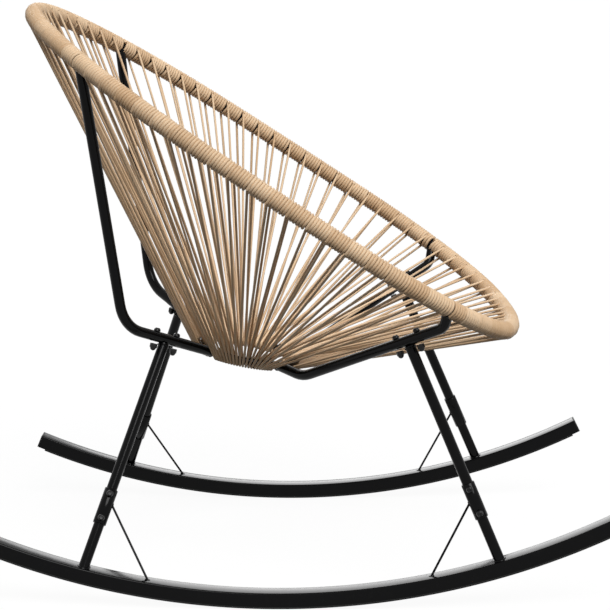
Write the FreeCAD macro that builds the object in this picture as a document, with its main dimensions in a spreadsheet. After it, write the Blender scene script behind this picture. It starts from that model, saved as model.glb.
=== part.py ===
"""Rocking chair: an egg-shaped corded seat on four splayed legs and two curved runners.

X points where the sitter looks, Y to the sitter's left, Z up. The origin is on the floor, halfway
between the runners and halfway along them. Lengths are in millimetres, angles in degrees, and sizes
named x are taken from the runners' lowest line. Round bars are drawn with a stated number of flat sides.
"""
import FreeCAD, Part
import math
import os

from FreeCAD import Placement, Rotation, Vector

doc = FreeCAD.newDocument("corded_rocking_chair")

# Driving sizes: name, value, meaning
SIZES = [
    ("hoop_tube", 18.2, "outside diameter of the seat hoop's tube"),
    ("hoop_tilt", 33.2, "slope of the flat hoop, falling to the front"),
    ("hoop_mid_height", 612.7, "height of the hoop's plane above the origin"),
    ("hoop_back_reach", 447.7, "along the slope, from above the origin to the back of the hoop"),
    ("back_radius", 293, "hoop arc behind the head"),
    ("back_angle", 32.6, "turn of that arc on each side"),
    ("shoulder_radius", 400, "hoop arc beside the shoulders"),
    ("shoulder_angle", 51.6, "turn of the shoulder arc"),
    ("side_radius", 2040, "almost straight hoop arc beside the arms"),
    ("side_angle", 7.5, "turn of the side arc"),
    ("knee_radius", 267, "hoop arc at the front corners"),
    ("knee_angle", 74.5, "turn of the corner arc"),
    ("rear_weld_run", 275.6, "along the hoop, from its back to a rear arm"),
    ("front_weld_run", 940, "along the hoop, from its back to a front arm"),
    ("cord_diameter", 4.5, "plastic cord of the winding and of the seat"),
    ("cord_clearance", 0.3, "between a cord and what it lies on"),
    ("wrap_clearance", 0.2, "between the winding and the tubes it lies on"),
    ("wrap_gap", 0.6, "between the windings on both sides of an arm"),
    ("hub_radius", 78, "middle line of the ring at the seat's bottom"),
    ("hub_tube", 12, "diameter of the ring's rod"),
    ("hub_x", -53, "ring's centre, behind the origin"),
    ("hub_height", 323, "ring's centre above the floor"),
    ("hub_tilt", 11, "slope of the ring, falling to the front"),
    ("back_pairs", 16, "pairs of seat cords between the rear arms"),
    ("side_pairs", 20, "pairs of seat cords between a rear and a front arm"),
    ("front_pairs", 21, "pairs of seat cords between the front arms"),
    ("rear_pair_gap", 29.4, "along the hoop, from a rear arm to the next pair on either side"),
    ("front_pair_gap", 16, "along the hoop, from a front arm to the next pair behind it"),
    ("front_lead_gap", 26, "along the hoop, from a front arm to the next pair ahead of it"),
    ("pair_step", 1.6, "along the hoop, from the middle of a pair to each of its cords"),
    ("arm_tube", 16, "diameter of the four bent tubes under the seat"),
    ("weld_gap", 0.2, "left for the weld between a tube's coped end and what it meets"),
    ("elbow_ahead", 50.1, "rear arm's elbow, ahead of its weld on the hoop"),
    ("elbow_inward", 50.5, "rear arm's elbow, inward of that weld"),
    ("elbow_rise", 75, "rear arm's elbow, above the ring's centre"),
    ("elbow_radius", 60, "bend of the elbow"),
    ("dip_ahead", 90.5, "front arm's lowest corner, ahead of the ring's centre"),
    ("dip_outward", 110, "front arm's lowest corner, outward of that centre"),
    ("dip_drop", 17, "front arm's lowest corner, below that centre"),
    ("dip_radius", 60, "bend of the lowest corner"),
    ("crest_ahead", -5.4, "front arm's corner under the hoop, ahead of its weld"),
    ("crest_inward", 16.1, "front arm's corner under the hoop, inward of its weld"),
    ("crest_drop", 30.9, "front arm's corner under the hoop, below its weld"),
    ("crest_radius", 26, "bend of the corner under the hoop"),
    ("track", 587, "between the middles of the runners"),
    ("rocker_radius", 1136, "curve of the glides' underside"),
    ("runner_width", 30, "across a runner"),
    ("runner_depth", 22, "height of a runner's tube"),
    ("runner_chamfer", 2.5, "on a runner's long edges"),
    ("runner_wall", 2, "of a runner's tube, at its open ends"),
    ("front_angle", 26.6, "runner's arc ahead of its lowest line"),
    ("rear_angle", 22.8, "runner's arc behind its lowest line"),
    ("glide_thickness", 2.5, "plastic strip under a runner"),
    ("glide_width", 24, "across that strip"),
    ("glide_margin_angle", 0.6, "arc by which the strip stops short of a runner's end"),
    ("cap_thickness", 2.5, "head of a runner's end cap"),
    ("plug_length", 14, "part of an end cap inside the runner"),
    ("plug_clearance", 0.3, "around that part"),
    ("leg_tube", 16, "diameter of a leg"),
    ("rear_foot_x", -280, "rear leg on the runner"),
    ("front_foot_x", 328.5, "front leg on the runner"),
    ("rear_saddle_run", 88, "from the elbow along the rear arm to the middle of its saddle"),
    ("front_saddle_run", 73, "from the corner under the hoop along the front arm to its saddle"),
    ("saddle_length", 58, "curved plate between an arm and a leg"),
    ("saddle_thickness", 3, "of that plate"),
    ("saddle_lip", 3.5, "from the arm's axis down to that plate's edges"),
    ("saddle_gap", 0.2, "between an arm and its saddle"),
    ("saddle_pitch", 42, "between the two bolts of a saddle"),
    ("sleeve_tube", 20, "outside diameter of the sleeve that joins a leg to its post"),
    ("sleeve_length", 55, "of that sleeve"),
    ("sleeve_rise", 66, "from the runner along the post to the sleeve"),
    ("sleeve_clearance", 0.15, "between a sleeve and the tubes in it"),
    ("sleeve_pitch", 38, "between the two bolts of a sleeve"),
    ("butt_gap", 0.4, "between the leg and the post inside a sleeve"),
    ("stay_rod", 3.5, "diameter of the thin stay beside a post"),
    ("rear_stay_height", 32, "from a rear sleeve's lower end along it to its stay"),
    ("front_stay_height", 26, "from a front sleeve's lower end along it to its stay"),
    ("rear_stay_x", -187, "rear stay on the runner"),
    ("front_stay_x", 230, "front stay on the runner"),
    ("bolt_diameter", 6, "shank of every bolt"),
    ("bolt_clearance", 0.2, "around a shank in its hole"),
    ("head_diameter", 10.5, "round bolt head"),
    ("head_height", 5, "round bolt head"),
    ("sleeve_bolt_depth", 13, "a sleeve bolt's shank, under its head"),
    ("nut_across", 10, "across the flats of a cap nut"),
    ("nut_height", 6.5, "hexagon of a cap nut"),
    ("nut_thread", 6, "shank inside a cap nut"),
    ("nut_dome", 4.6, "radius of a cap nut's dome"),
    ("dome_height", 4.5, "a cap nut's dome"),
    ("crown_share", 0.6, "radius at the top of a dome or a bolt head, of that at its foot"),
    ("hoop_sides", 6, "flat sides of the hoop and of its winding's bore"),
    ("wrap_sides", 8, "flat sides of the winding"),
    ("hub_sides", 8, "flat sides of the ring's rod"),
    ("tube_sides", 10, "flat sides of arms, legs, posts, sleeves and saddles"),
    ("cord_sides", 6, "flat sides of a seat cord"),
    ("bolt_sides", 6, "flat sides of bolts, their holes, domes and stays"),
]
SIDES = {"left": 1, "right": -1}
# Layers of seat cords: the side of the tubes that each lies on, and of a pair's middle along the hoop
LAYERS = {"upper": 1, "lower": -1}
UP = Vector(0, 0, 1)
HALF_TURN = 180.0

sheet = doc.addObject("Spreadsheet::Sheet", "sizes")
for row, (alias, value, meaning) in enumerate(SIZES, start=1):
    sheet.set(f"A{row}", meaning)
    sheet.set(f"B{row}", str(value))
    sheet.setAlias(f"B{row}", alias)
worked = doc.addObject("Spreadsheet::Sheet", "worked")
doc.recompute()
pieces = []


def size(alias):
    """Value of a driving size."""
    return float(sheet.get(alias))


def work_out(alias, value):
    """Keep a length that follows from the driving sizes, and return its reference."""
    row = len(worked.getUsedCells()) + 1
    worked.set(f"A{row}", repr(value))
    worked.setAlias(f"A{row}", alias)
    return f"worked.{alias}"


def piece(obj, label):
    """Name a finished sub-part; the label is its file's name."""
    obj.Label = label
    pieces.append(obj)
    return obj


def square_to(vector, axis):
    """Part of a vector square to an axis, as a unit vector."""
    axis = Vector(axis).normalize()
    return (vector - axis * vector.dot(axis)).normalize()


def along(start, direction, facing):
    """Placement whose Z axis points along a direction and whose X axis faces another."""
    facing = square_to(facing, direction)
    return Placement(start, Rotation(facing, Vector(direction).cross(facing), direction, "ZXY"))


def flat_forward(placement, sides):
    """The placement turned so that a regular outline has a flat, not a corner, on its X axis."""
    return placement * Placement(Vector(), Rotation(UP, HALF_TURN / size(sides)))


def bar(name, sides, radius, height, placement):
    """Straight bar with flat sides, one of them square to the placement's X axis."""
    obj = doc.addObject("Part::Prism", name)
    obj.setExpression("Polygon", f"sizes.{sides}")
    obj.setExpression("Circumradius", radius)
    obj.setExpression("Height", height)
    obj.Placement = flat_forward(placement, sides)
    return obj


def outline(name, sides, radius, placement):
    """Regular outline of a bar."""
    obj = doc.addObject("Part::RegularPolygon", name)
    obj.setExpression("Polygon", f"sizes.{sides}")
    obj.setExpression("Circumradius", radius)
    obj.Placement = flat_forward(placement, sides)
    return obj


def crown(name, radius, height, placement):
    """Low dome over a regular outline."""
    top = placement * Placement(Vector(0, 0, size(height)), Rotation())
    foot = outline(f"{name}_foot", "bolt_sides", radius, placement)
    lid = outline(f"{name}_lid", "bolt_sides", f"{radius} * sizes.crown_share", top)
    obj = doc.addObject("Part::Loft", name)
    obj.Sections = [foot, lid]
    obj.Solid = True
    obj.Ruled = True
    return obj


def fuse(name, base, tool):
    """Two shapes made one."""
    obj = doc.addObject("Part::Fuse", name)
    obj.Base = base
    obj.Tool = tool
    return obj


def cut(name, base, tools):
    """Base less one or more tools."""
    for index, tool in enumerate(tools):
        obj = doc.addObject("Part::Cut", f"{name}_{index}")
        obj.Base = base
        obj.Tool = tool
        base = obj
    return base


def shape_object(name, shape):
    """Document object that holds a shape made here."""
    obj = doc.addObject("Part::Feature", name)
    obj.Shape = shape
    return obj


def degrees_of(length):
    """Angle that a short length takes on the runners' curve."""
    return math.degrees(length / size("rocker_radius"))


def reach_of(angle):
    """How far a runner's end cap reaches from the runners' lowest line."""
    return size("rocker_radius") * math.sin(math.radians(size(angle) + degrees_of(size("cap_thickness"))))


def compound(name, members):
    """Group of separate solids in one sub-part."""
    obj = doc.addObject("Part::Compound", name)
    obj.Links = members
    return obj


# Runners' lowest line, as far from the origin as puts the origin halfway along the chair
LOWEST_X = (reach_of("rear_angle") - reach_of("front_angle")) / 2


# Seat hoop: one flat loop of tangent arcs, walked from its back to the left, the front and the right


def hoop_arcs():
    """Arcs of the loop as (length before, centre, radius, first angle, last angle) in its plane."""
    turns = [(size(f"{name}_radius"), math.radians(size(f"{name}_angle")))
             for name in ("back", "shoulder", "side", "knee")]
    reach, across, angle = size("hoop_back_reach"), 0.0, 0.0
    half = []
    for radius, sweep in turns:
        centre = (reach - radius * math.cos(angle), across - radius * math.sin(angle))
        half.append((centre, radius, angle, angle + sweep))
        angle += sweep
        reach = centre[0] + radius * math.cos(angle)
        across = centre[1] + radius * math.sin(angle)
    # The front arc is the one that closes the loop square to the middle
    radius = across / math.sin(math.pi - angle)
    half.append(((reach - radius * math.cos(angle), 0.0), radius, angle, math.pi))
    mirrored = [((centre[0], -centre[1]), radius, 2 * math.pi - last, 2 * math.pi - first)
                for centre, radius, first, last in reversed(half)]
    arcs, length = [], 0.0
    for centre, radius, first, last in half + mirrored:
        arcs.append((length, centre, radius, first, last))
        length += radius * (last - first)
    return arcs, length


ARCS, HOOP_LENGTH = hoop_arcs()
TILT = math.radians(size("hoop_tilt"))
HOOP_BACK = Vector(-math.cos(TILT), 0, math.sin(TILT))
HOOP_UP = Vector(math.sin(TILT), 0, math.cos(TILT))


def in_hoop(reach, across):
    """Point of the hoop's plane in space."""
    return Vector(LOWEST_X, across, size("hoop_mid_height")) + HOOP_BACK * reach


def on_arc(arc, angle):
    """Point of one arc of the loop."""
    centre, radius = arc[1], arc[2]
    return in_hoop(centre[0] + radius * math.cos(angle), centre[1] + radius * math.sin(angle))


def on_hoop(run):
    """Middle point and tangent of the hoop's tube at a length along it."""
    run %= HOOP_LENGTH
    arc = [a for a in ARCS if a[0] <= run + 1e-9][-1]
    angle = arc[3] + (run - arc[0]) / arc[2]
    tangent = HOOP_BACK * -math.sin(angle) + Vector(0, math.cos(angle), 0)
    return on_arc(arc, angle), tangent


def hoop_wire(first_run, last_run):
    """Wire of arcs along the hoop between two lengths; the last may pass the loop's start."""
    edges = []
    laps = [(arc, lap * HOOP_LENGTH) for lap in (0, 1) for arc in ARCS]
    for arc, offset in laps:
        begin = max(first_run, arc[0] + offset)
        end = min(last_run, arc[0] + offset + arc[2] * (arc[4] - arc[3]))
        if end - begin < 1e-6:
            continue
        angles = [arc[3] + (run - arc[0] - offset) / arc[2] for run in (begin, (begin + end) / 2, end)]
        edges.append(Part.Arc(*[on_arc(arc, angle) for angle in angles]).toShape())
    return Part.Wire(edges)


def swept(name, path, profile):
    """Solid bar with an outline along a path."""
    obj = doc.addObject("Part::Sweep", name)
    obj.Sections = [profile]
    obj.Spine = (path, [f"Edge{i + 1}" for i in range(len(path.Shape.Edges))])
    obj.Solid = True
    obj.Frenet = False
    return obj


def hoop_bar(name, runs, sides, radius):
    """Bar along part of the hoop."""
    path = shape_object(f"{name}_path", hoop_wire(*runs))
    profile = outline(f"{name}_outline", sides, radius, along(*on_hoop(runs[0]), HOOP_UP))
    return swept(name, path, profile)


WHOLE_LOOP = (0, HOOP_LENGTH)
piece(hoop_bar("hoop", WHOLE_LOOP, "hoop_sides", "sizes.hoop_tube / 2"), "rim_hoop")

WELD_RUNS = {
    ("rear", "left"): size("rear_weld_run"),
    ("front", "left"): size("front_weld_run"),
    ("front", "right"): HOOP_LENGTH - size("front_weld_run"),
    ("rear", "right"): HOOP_LENGTH - size("rear_weld_run"),
}
# Stretches of the hoop between the arms, in the order of the loop: the arms at both ends, the number of
# pairs of cords, and the gaps from the arms to the first and the last pair
STRETCHES = {
    "left": (("rear", "left"), ("front", "left"), "side_pairs", ("rear_pair_gap", "front_pair_gap")),
    "front": (("front", "left"), ("front", "right"), "front_pairs", ("front_lead_gap", "front_lead_gap")),
    "right": (("front", "right"), ("rear", "right"), "side_pairs", ("front_pair_gap", "rear_pair_gap")),
    "back": (("rear", "right"), ("rear", "left"), "back_pairs", ("rear_pair_gap", "rear_pair_gap")),
}


def stretch_runs(stretch, first_margin, last_margin):
    """First and last length along the hoop in one stretch, each a margin away from its arm."""
    begin, end = STRETCHES[stretch][:2]
    first, last = WELD_RUNS[begin] + first_margin, WELD_RUNS[end] - last_margin
    return first, last if last > first else last + HOOP_LENGTH


# Hub ring, and the four bent arms that carry the seat between it and the hoop

HUB_CENTRE = Vector(LOWEST_X + size("hub_x"), 0, size("hub_height"))
HUB_TILT = Rotation(Vector(0, 1, 0), size("hub_tilt"))
HUB_UP = HUB_TILT.multVec(UP)


def on_hub(azimuth):
    """Middle point and tangent of the ring; azimuth 0 is its back, 90 degrees its left."""
    outward = HUB_TILT.multVec(Vector(-math.cos(azimuth), math.sin(azimuth), 0))
    tangent = HUB_TILT.multVec(Vector(math.sin(azimuth), math.cos(azimuth), 0))
    return HUB_CENTRE + outward * size("hub_radius"), tangent


def hub_bar(name, radius):
    """Closed ring whose rod has a radius."""
    obj = doc.addObject("Part::Revolution", name)
    obj.Source = outline(f"{name}_outline", "hub_sides", radius, along(*on_hub(0), HUB_UP))
    obj.Axis = HUB_UP
    obj.Base = HUB_CENTRE
    obj.Angle = 2 * HALF_TURN
    obj.Solid = True
    return obj


piece(hub_bar("hub", "sizes.hub_tube / 2"), "hub_ring")


def azimuth_of(point):
    """Direction of a point seen from the ring's centre."""
    away = point - HUB_CENTRE
    return math.atan2(away.y, -away.x)


def bent_wire(points, radii):
    """Straight runs through the points, with a tangent arc at each inner one."""
    edges, begin = [], points[0]
    for before, point, after, radius in zip(points, points[1:], points[2:], radii):
        back = (before - point).normalize()
        ahead = (after - point).normalize()
        half_turn = (math.pi - back.getAngle(ahead)) / 2
        reach = radius * math.tan(half_turn)
        bisector = (back + ahead).normalize()
        middle = point + bisector * (radius / math.cos(half_turn) - radius)
        edges.append(Part.LineSegment(begin, point + back * reach).toShape())
        edges.append(Part.Arc(point + back * reach, middle, point + ahead * reach).toShape())
        begin = point + ahead * reach
    edges.append(Part.LineSegment(begin, points[-1]).toShape())
    return Part.Wire(edges)


def arm_route(end, side):
    """Corners and bend radii of an arm, from the hoop to the ring."""
    weld, sign = on_hoop(WELD_RUNS[(end, side)])[0], SIDES[side]
    if end == "rear":
        names = ["elbow"]
        corners = [Vector(weld.x + size("elbow_ahead"), weld.y - sign * size("elbow_inward"),
                          HUB_CENTRE.z + size("elbow_rise"))]
    else:
        names = ["crest", "dip"]
        corners = [weld + Vector(size("crest_ahead"), -sign * size("crest_inward"), -size("crest_drop")),
                   HUB_CENTRE + Vector(size("dip_ahead"), sign * size("dip_outward"), -size("dip_drop"))]
    ring = on_hub(azimuth_of(corners[-1]))[0]
    return [weld] + corners + [ring], [size(f"{name}_radius") for name in names]


def weld_runs(end, side):
    """Stretch of the hoop that an arm's end is coped to."""
    run = WELD_RUNS[(end, side)]
    return run - size("arm_tube"), run + size("arm_tube")


weld_hub = hub_bar("weld_hub", "sizes.hub_tube / 2 + sizes.weld_gap")


# Saddles: each arm's joint with its leg is a frame of middle point, arm direction and up


def saddle_frame(end, side):
    """Middle of the saddle on the arm's axis, the arm's direction there, and square to it, up."""
    points = arm_route(end, side)[0]
    direction = (points[2] - points[1]).normalize()
    middle = points[1] + direction * size(f"{end}_saddle_run")
    return middle, direction, square_to(UP, direction)


def saddle_bolt_feet(end, side):
    """Points on the arm's axis where the two bolts of a saddle pass."""
    middle, direction, _ = saddle_frame(end, side)
    return [middle + direction * (sign * size("saddle_pitch") / 2) for sign in (-1, 1)]


LEGS = [(end, side) for end in ("rear", "front") for side in ("left", "right")]
SADDLE_DROP = size("arm_tube") / 2 + size("saddle_gap") + size("saddle_thickness")
# Corner radii of a saddle's two walls, so that their flats clear the arm
FLAT = "cos(180deg / sizes.tube_sides)"
SADDLE_BORE = f"(sizes.arm_tube / 2 + sizes.saddle_gap) / {FLAT}"
SADDLE_OUTER = f"(sizes.arm_tube / 2 + sizes.saddle_gap + sizes.saddle_thickness) / {FLAT}"
BOLT_HOLE = "sizes.bolt_diameter / 2 + sizes.bolt_clearance"
HOLE_REACH = 2 * SADDLE_DROP
hole_run = work_out("hole_run", 2 * HOLE_REACH)
bolt_holes = {}
for end, side in LEGS:
    direction, up = saddle_frame(end, side)[1:]
    bolt_holes[(end, side)] = [
        bar(f"{end}_{side}_hole_{index}", "bolt_sides", BOLT_HOLE, hole_run,
            along(foot - up * HOLE_REACH, up, direction))
        for index, foot in enumerate(saddle_bolt_feet(end, side))]


def arm_bar(name, end, side, radius):
    """Bar along an arm's whole route."""
    points, radii = arm_route(end, side)
    path = shape_object(f"{name}_path", bent_wire(points, radii))
    profile = outline(f"{name}_outline", "tube_sides", radius,
                      along(points[0], points[1] - points[0], Vector(0, 1, 0)))
    return swept(name, path, profile)


# Arms, and the room that each takes in the hoop's winding
arm_rooms = {}
for end, side in LEGS:
    name = f"{end}_{side}_arm"
    weld = hoop_bar(f"{name}_weld", weld_runs(end, side), "hoop_sides",
                    "sizes.hoop_tube / 2 + sizes.weld_gap")
    tools = [weld, weld_hub] + bolt_holes[(end, side)]
    whole = arm_bar(name, end, side, "sizes.arm_tube / 2")
    piece(cut(f"{name}_coped", whole, tools), f"{end}_arm_{side}")
    arm_rooms[(end, side)] = arm_bar(f"{name}_room", end, side, "sizes.arm_tube / 2 + sizes.wrap_clearance")

for stretch, (begin, end, _, _) in STRETCHES.items():
    runs = stretch_runs(stretch, size("wrap_gap") / 2, size("wrap_gap") / 2)
    outer = hoop_bar(f"wrap_{stretch}", runs, "wrap_sides", "sizes.hoop_tube / 2 + sizes.cord_diameter")
    bore = hoop_bar(f"wrap_{stretch}_bore", runs, "hoop_sides", "sizes.hoop_tube / 2 + sizes.wrap_clearance")
    tools = [bore, arm_rooms[begin], arm_rooms[end]]
    piece(cut(f"wrap_{stretch}_sleeve", outer, tools), f"rim_wrap_{stretch}")

for end, side in LEGS:
    name = f"{end}_{side}_saddle"
    middle, direction, up = saddle_frame(end, side)
    place = along(middle - direction * (size("saddle_length") / 2), direction, up * -1)
    outer = bar(name, "tube_sides", SADDLE_OUTER, "sizes.saddle_length", place)
    bore = bar(f"{name}_bore", "tube_sides", SADDLE_BORE, "sizes.saddle_length", place)
    # All that stands higher than the lips is cut away
    above = doc.addObject("Part::Box", f"{name}_above")
    above.setExpression("Length", "2 * sizes.arm_tube")
    above.setExpression("Width", "4 * sizes.arm_tube")
    above.setExpression("Height", "sizes.saddle_length")
    above.Placement = place * Placement(
        Vector(size("saddle_lip") - 2 * size("arm_tube"), -2 * size("arm_tube"), 0), Rotation())
    piece(cut(f"{name}_cup", outer, [bore, above] + bolt_holes[(end, side)]), f"{end}_saddle_{side}")


# Rockers: every long piece is a bar turned about the axis of the runners' curve

ROCKER_AXIS = Vector(LOWEST_X, 0, size("rocker_radius"))


def rocker_bar(section, side, first, last):
    """Bar round the rocker's axis from one angle to another; the section is (across, above the floor)."""
    points = [Vector(LOWEST_X, side * size("track") / 2 + across, height) for across, height in section]
    face = Part.Face(Part.makePolygon(points + points[:1]))
    face.rotate(ROCKER_AXIS, Vector(0, -1, 0), first)
    return face.revolve(ROCKER_AXIS, Vector(0, -1, 0), last - first)


def oblong(width, bottom, top, chamfer):
    """Outline of a flat bar with its corners cut."""
    half = width / 2
    return [(-half + chamfer, bottom), (half - chamfer, bottom), (half, bottom + chamfer),
            (half, top - chamfer), (half - chamfer, top), (-half + chamfer, top),
            (-half, top - chamfer), (-half, bottom + chamfer)]


RUNNER_BOTTOM = size("glide_thickness")
RUNNER_TOP = RUNNER_BOTTOM + size("runner_depth")
RUNNER_OUTLINE = oblong(size("runner_width"), RUNNER_BOTTOM, RUNNER_TOP, size("runner_chamfer"))


def bore_outline(clearance):
    """Outline of a runner's inside, less a clearance."""
    inset = size("runner_wall") + clearance
    return oblong(size("runner_width") - 2 * inset, RUNNER_BOTTOM + inset, RUNNER_TOP - inset,
                  size("runner_chamfer") / 2)


runners = {}
for side, sign in SIDES.items():
    rear, front = -size("rear_angle"), size("front_angle")
    socket = degrees_of(size("plug_length") + size("plug_clearance"))
    whole = shape_object(f"runner_bar_{side}", rocker_bar(RUNNER_OUTLINE, sign, rear, front))
    sockets = [shape_object(f"runner_socket_{side}_{index}", rocker_bar(bore_outline(0), sign, *span))
               for index, span in enumerate([(rear, rear + socket), (front - socket, front)])]
    runners[side] = piece(cut(f"runner_{side}_tube", whole, sockets), f"runner_{side}")
    margin, half = size("glide_margin_angle"), size("glide_width") / 2
    glide = [(-half, 0), (half, 0), (half, RUNNER_BOTTOM), (-half, RUNNER_BOTTOM)]
    strip = rocker_bar(glide, sign, rear + margin, front - margin)
    piece(shape_object(f"glide_strip_{side}", strip), f"glide_strip_{side}")
    plug, head = degrees_of(size("plug_length")), degrees_of(size("cap_thickness"))
    for end, face, inward in (("rear", rear, 1), ("front", front, -1)):
        inside = rocker_bar(bore_outline(size("plug_clearance")), sign, *sorted((face, face + inward * plug)))
        outside = rocker_bar(RUNNER_OUTLINE, sign, *sorted((face, face - inward * head)))
        piece(shape_object(f"end_cap_{end}_{side}", inside.fuse(outside)), f"end_cap_{end}_{side}")


def on_runner(x, side):
    """Point in the middle of a runner's top."""
    radius = size("rocker_radius") - RUNNER_TOP
    height = size("rocker_radius") - math.sqrt(radius ** 2 - x ** 2)
    return Vector(LOWEST_X + x, SIDES[side] * size("track") / 2, height)


# Legs: an upper tube under the saddle, a sleeve, a lower post on the runner and a thin stay

sleeve_bolts = []
rail_bolts = []
cap_nuts = []


def leg_line(end, side):
    """Foot of a leg, unit vector up along it, and its length to the arm's axis."""
    foot = on_runner(size(f"{end}_foot_x"), side)
    top = saddle_frame(end, side)[0]
    return foot, (top - foot).normalize(), top.distanceToPoint(foot)


def bolt(name, seat, length):
    """Round-headed bolt: its head stands on the seat's placement and its shank runs below it."""
    head = crown(f"{name}_head", "sizes.head_diameter / 2", "head_height", seat)
    downward = seat * Placement(Vector(), Rotation(Vector(1, 0, 0), HALF_TURN))
    shank = bar(f"{name}_shank", "bolt_sides", "sizes.bolt_diameter / 2", length, downward)
    return fuse(name, head, shank)


def cap_nut(name, seat):
    """Hexagon nut with a dome over a blind bore, standing on the seat's placement."""
    hexagon = doc.addObject("Part::Prism", f"{name}_hexagon")
    hexagon.Polygon = 6
    hexagon.setExpression("Circumradius", "sizes.nut_across / sqrt(3)")
    hexagon.setExpression("Height", "sizes.nut_height")
    hexagon.Placement = seat
    top = seat * Placement(Vector(0, 0, size("nut_height")), Rotation())
    whole = fuse(f"{name}_body", hexagon, crown(f"{name}_dome", "sizes.nut_dome", "dome_height", top))
    bore = bar(f"{name}_bore", "bolt_sides", BOLT_HOLE, "sizes.nut_thread + sizes.bolt_clearance", seat)
    return cut(name, whole, [bore])


for end, side in LEGS:
    name = f"{end}_{side}"
    foot, rise, length = leg_line(end, side)
    middle, direction, up = saddle_frame(end, side)
    sleeve_foot = foot + rise * size("sleeve_rise")
    sleeve_middle = sleeve_foot + rise * (size("sleeve_length") / 2)
    gap = rise * (size("butt_gap") / 2)
    outward = square_to(Vector(0, SIDES[side], 0), rise)
    face = sleeve_middle + outward * (size("sleeve_tube") / 2)
    seats = [along(face + rise * (sign * size("sleeve_pitch") / 2), outward, rise) for sign in (-1, 1)]
    holes = [bar(f"{name}_sleeve_hole_{index}", "bolt_sides", BOLT_HOLE,
                 "sizes.sleeve_bolt_depth + sizes.bolt_clearance",
                 seat * Placement(Vector(), Rotation(Vector(1, 0, 0), HALF_TURN)))
             for index, seat in enumerate(seats)]

    upper_run = work_out(f"{name}_leg_run", length - (sleeve_middle - foot).Length - gap.Length)
    upper = bar(f"{name}_leg", "tube_sides", "sizes.leg_tube / 2", upper_run,
                along(sleeve_middle + gap, rise, outward))
    cope = bar(f"{name}_leg_cope", "tube_sides", f"{SADDLE_OUTER} + sizes.weld_gap",
               "2 * sizes.saddle_length",
               along(middle - direction * size("saddle_length"), direction, up * -1))
    piece(cut(f"{name}_leg_coped", upper, [cope, holes[1]]), f"{end}_leg_{side}")

    # The post starts below the runner's top and is coped to it
    sunk = size("runner_depth") / 2
    post_run = work_out(f"{name}_post_run", sunk + (sleeve_middle - foot).Length - gap.Length)
    post = bar(f"{name}_post", "tube_sides", "sizes.leg_tube / 2", post_run,
               along(foot - rise * sunk, rise, outward))
    piece(cut(f"{name}_post_coped", post, [runners[side], holes[0]]), f"{end}_post_{side}")

    place = along(sleeve_foot, rise, outward)
    tube = bar(f"{name}_sleeve", "tube_sides", "sizes.sleeve_tube / 2", "sizes.sleeve_length", place)
    bore = bar(f"{name}_sleeve_bore", "tube_sides", "sizes.leg_tube / 2 + sizes.sleeve_clearance",
               "sizes.sleeve_length", place)
    piece(cut(f"{name}_sleeve_bored", tube, [bore] + holes), f"{end}_sleeve_{side}")

    stay_top = sleeve_foot + rise * size(f"{end}_stay_height")
    stay_foot = on_runner(size(f"{end}_stay_x"), side)
    slant = (stay_foot - stay_top).normalize()
    stay_run = work_out(f"{name}_stay_run", stay_foot.distanceToPoint(stay_top) + sunk)
    rod = bar(f"{name}_stay", "bolt_sides", "sizes.stay_rod / 2", stay_run, along(stay_top, slant, rise))
    collar = bar(f"{name}_stay_cope", "tube_sides", "sizes.sleeve_tube / 2 + sizes.weld_gap",
                 "sizes.sleeve_length", place)
    piece(cut(f"{name}_stay_coped", rod, [collar, runners[side]]), f"{end}_stay_{side}")

    for index, seat in enumerate(seats):
        sleeve_bolts.append(bolt(f"{name}_sleeve_bolt_{index}", seat, "sizes.sleeve_bolt_depth"))
    shank_run = work_out(f"{name}_shank_run", size("arm_tube") / 2 + SADDLE_DROP + size("nut_thread"))
    for index, axis_point in enumerate(saddle_bolt_feet(end, side)):
        seat = along(axis_point + up * (size("arm_tube") / 2), up, direction)
        rail_bolts.append(bolt(f"{name}_rail_bolt_{index}", seat, shank_run))
        underside = along(axis_point - up * SADDLE_DROP, up * -1, direction)
        cap_nuts.append(cap_nut(f"{name}_cap_nut_{index}", underside))

piece(compound("all_sleeve_bolts", sleeve_bolts), "sleeve_bolts")
piece(compound("all_rail_bolts", rail_bolts), "rail_bolts")
piece(compound("all_cap_nuts", cap_nuts), "cap_nuts")


# Seat cords: straight runs in pairs that leave the hoop's top and underside and end on the ring


def cord(start, end, lift):
    """Straight cord between two points, with a flat towards what it lies on."""
    run = end - start
    sides = int(size("cord_sides"))
    placement = flat_forward(along(start, run, lift), "cord_sides")
    turns = [2 * math.pi * index / sides for index in range(sides)]
    corners = [placement.multVec(Vector(math.cos(turn), math.sin(turn), 0) * (size("cord_diameter") / 2))
               for turn in turns]
    return Part.Face(Part.makePolygon(corners + corners[:1])).extrude(run)


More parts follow.
